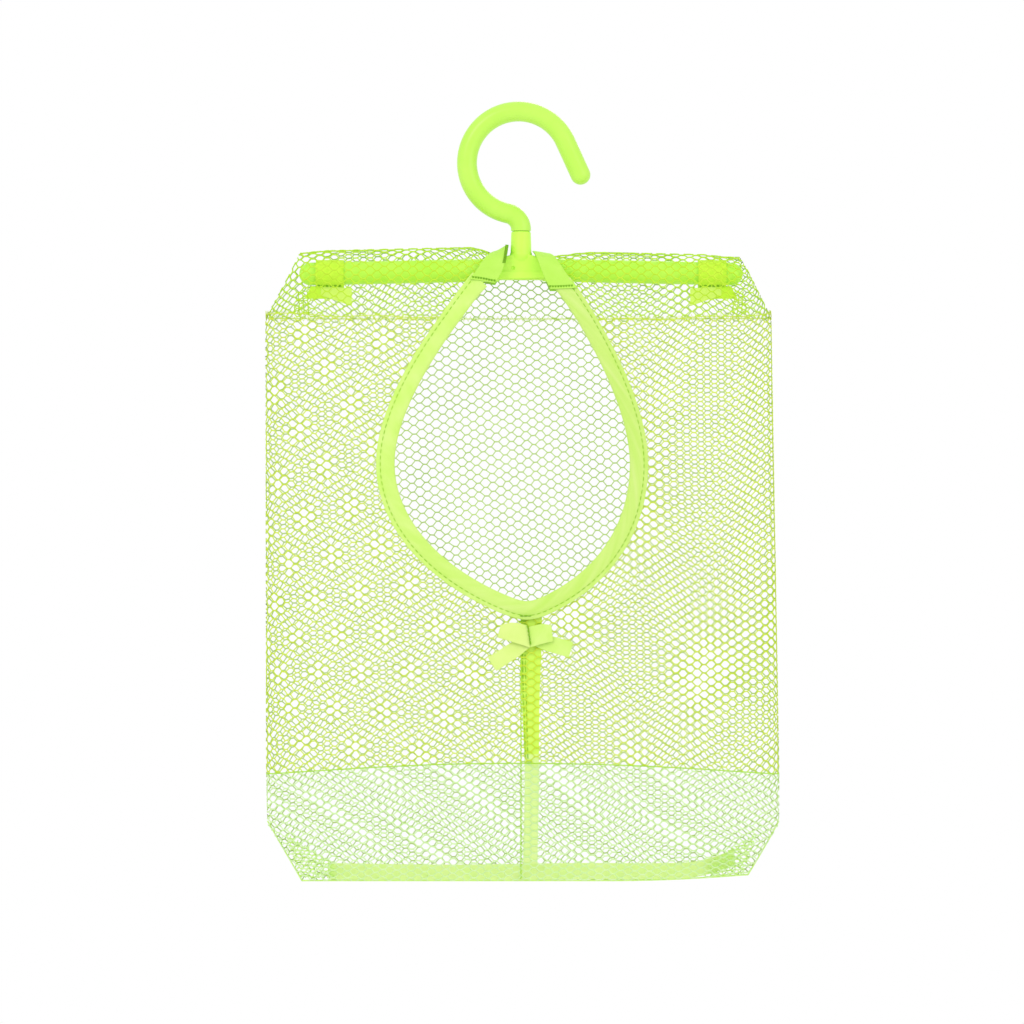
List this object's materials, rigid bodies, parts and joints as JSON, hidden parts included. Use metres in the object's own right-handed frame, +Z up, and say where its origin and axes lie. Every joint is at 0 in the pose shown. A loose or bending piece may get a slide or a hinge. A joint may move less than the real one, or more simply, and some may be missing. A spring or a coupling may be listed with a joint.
{
  "type": "hanging mesh storage bag",
  "caption": "Net storage bag with a ribbon-bound teardrop mouth, hung on a small hanger bar with a swivel hook, for clothes pegs and other light things.",
  "frame": {"origin": "inside of the hook's crown, where the rail carries it, above the swivel axis", "axes": "+Z up along the swivel axis, +X along the hanger bar to the right as seen from the front, +Y to the back"},
  "size_m": [0.2556, 0.0398, 0.3906],
  "materials": {
    "hook_plastic": "smooth moulded lime-green plastic",
    "hanger_plastic": "smooth moulded lime-green plastic",
    "net": "lime-green warp-knitted net with hexagon cells",
    "bottom_net": "the same net, paler where it is close and doubled",
    "ribbon": "lime-green woven ribbon"
  },
  "bodies": {
    "hook": {"hook": "hook_plastic"},
    "hanger": {"hanger_bar": "hanger_plastic"},
    "bag": {"roof_net_front_left": "net", "roof_net_front_right": "net", "roof_net_back": "net", "front_net_left": "net", "front_net_right": "net", "back_net": "net", "bottom_net_left": "bottom_net", "bottom_net_right": "bottom_net", "opening_binding": "ribbon", "hanger_loop_left": "ribbon", "hanger_loop_right": "ribbon", "end_ribbon_left": "ribbon", "end_ribbon_right": "ribbon", "centre_seam_tape": "ribbon", "bottom_seam_tape": "ribbon", "bow_loop_left": "ribbon", "bow_loop_right": "ribbon", "bow_tail_left": "ribbon", "bow_tail_right": "ribbon"}
  },
  "joints": [
    {"name": "hook_swivel", "type": "hinge", "parent": "hook", "child": "hanger", "pos_m": [0, 0, -0.065], "axis": [0, 0, 1], "continuous": true},
    {"name": "bag_swing", "type": "hinge", "parent": "hanger", "child": "bag", "pos_m": [0, 0, -0.0752], "axis": [1, 0, 0], "range_deg": [-30, 30]}
  ]
}
